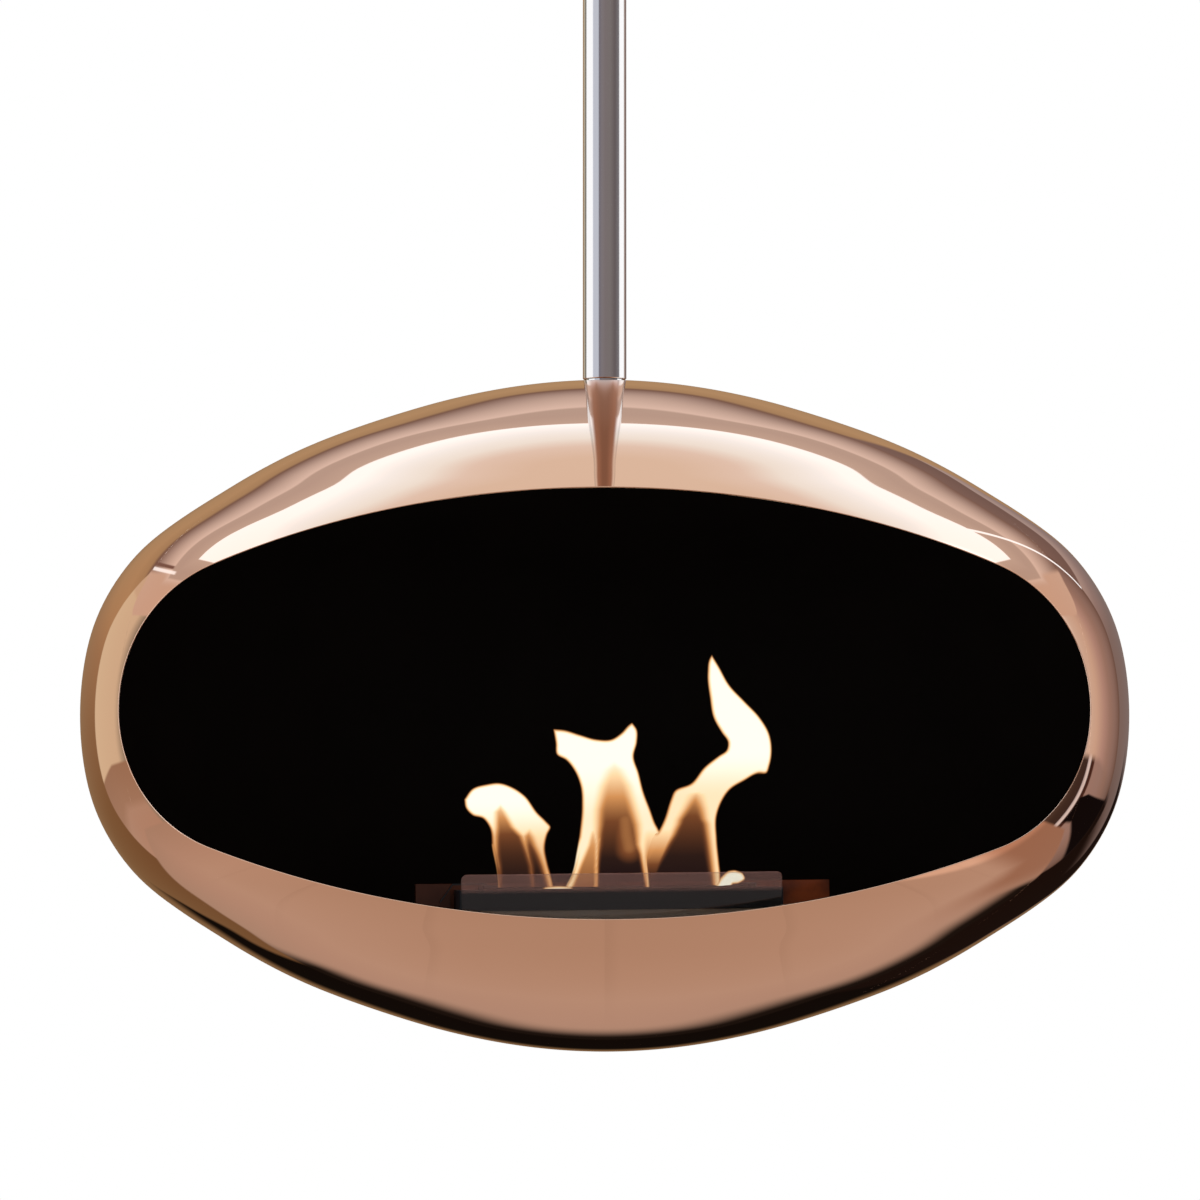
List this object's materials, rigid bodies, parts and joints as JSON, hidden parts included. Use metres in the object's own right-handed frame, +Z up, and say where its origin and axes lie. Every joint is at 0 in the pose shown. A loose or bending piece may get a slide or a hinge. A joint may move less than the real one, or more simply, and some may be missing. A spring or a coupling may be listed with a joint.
{
  "type": "hanging fireplace",
  "caption": "Pebble-shaped polished copper shell with an oval mouth, hanging from a steel pole on a swivel bearing, with an ethanol burner, a sliding lid and a glass guard inside.",
  "frame": {"origin": "centre of the ceiling plate's top face, where it meets the ceiling", "axes": "+Z up along the pole; the mouth faces -Y; +X to the viewer's right"},
  "size_m": [0.91, 0.8152, 1.433],
  "materials": {
    "copper": "mirror-polished copper outside, matt black heat paint inside",
    "pole_steel": "stainless tube brushed round its axis, satin",
    "zinc_steel": "zinc-plated steel",
    "dark_steel": "oiled turned steel",
    "bearing_steel": "hardened and ground",
    "cage_brass": "stamped brass",
    "black_steel": "matt black heat paint",
    "brown_steel": "satin stainless, tinted brown by heat",
    "tank_steel": "satin stainless",
    "burner_black": "charcoal satin coating",
    "ceramic_wool": "fibrous",
    "guard_glass": "clear heat-resistant glass with ground edges"
  },
  "bodies": {
    "pole": {"ceiling_plate": "zinc_steel", "ceiling_spigot": "zinc_steel", "cross_bolt": "zinc_steel", "cross_nut": "zinc_steel", "pole_tube": "pole_steel", "bearing_plug": "dark_steel", "plug_screws": "dark_steel", "lower_race": "bearing_steel"},
    "cover": {"ceiling_cover": "pole_steel", "cover_collar": "pole_steel", "collar_screw": "dark_steel"},
    "ball_set": {"ball_cage": "cage_brass", "bearing_balls": "bearing_steel"},
    "shell": {"upper_race": "bearing_steel", "swivel_spindle": "dark_steel", "neck_washer": "dark_steel", "upper_shell": "copper", "lower_shell": "copper", "crown_plate": "black_steel", "hanger_washer": "black_steel", "hanger_nut": "black_steel", "lock_nut": "black_steel", "cradle_studs": "black_steel", "cradle_nuts": "zinc_steel", "burner_cradle": "black_steel", "burner_surround": "brown_steel", "surround_screws": "zinc_steel", "glass_clips": "black_steel", "clip_screws": "zinc_steel"},
    "burner": {"burner_tank": "tank_steel", "ceramic_wool": "ceramic_wool", "wick_plate": "tank_steel", "burner_top": "burner_black", "lid_runners": "burner_black"},
    "lid": {"sliding_lid": "burner_black", "lid_pull": "burner_black"},
    "glass": {"glass_guard": "guard_glass"}
  },
  "joints": [
    {"name": "cover_slide", "type": "slide", "parent": "pole", "child": "cover", "axis": [0, 0, -1], "range_m": [0, 0.15]},
    {"name": "shell_swivel", "type": "hinge", "parent": "pole", "child": "shell", "pos_m": [0, 0, -0.8236], "axis": [0, 0, 1], "continuous": true},
    {"name": "ball_roll", "type": "hinge", "parent": "pole", "child": "ball_set", "pos_m": [0, 0, -0.8236], "axis": [0, 0, 1], "continuous": true},
    {"name": "burner_lift", "type": "slide", "parent": "shell", "child": "burner", "axis": [-0.0113, -0.0007, 0.9999], "range_m": [0, 0.1]},
    {"name": "lid_slide", "type": "slide", "parent": "burner", "child": "lid", "axis": [0.061, -0.9981, 0], "range_m": [0, 0.052]},
    {"name": "glass_lift", "type": "slide", "parent": "shell", "child": "glass", "axis": [-0.0113, -0.0007, 0.9999], "range_m": [0, 0.06]}
  ],
  "couplings": [
    {"joint": "ball_roll", "follows": "shell_swivel", "ratio": 0.5}
  ]
}
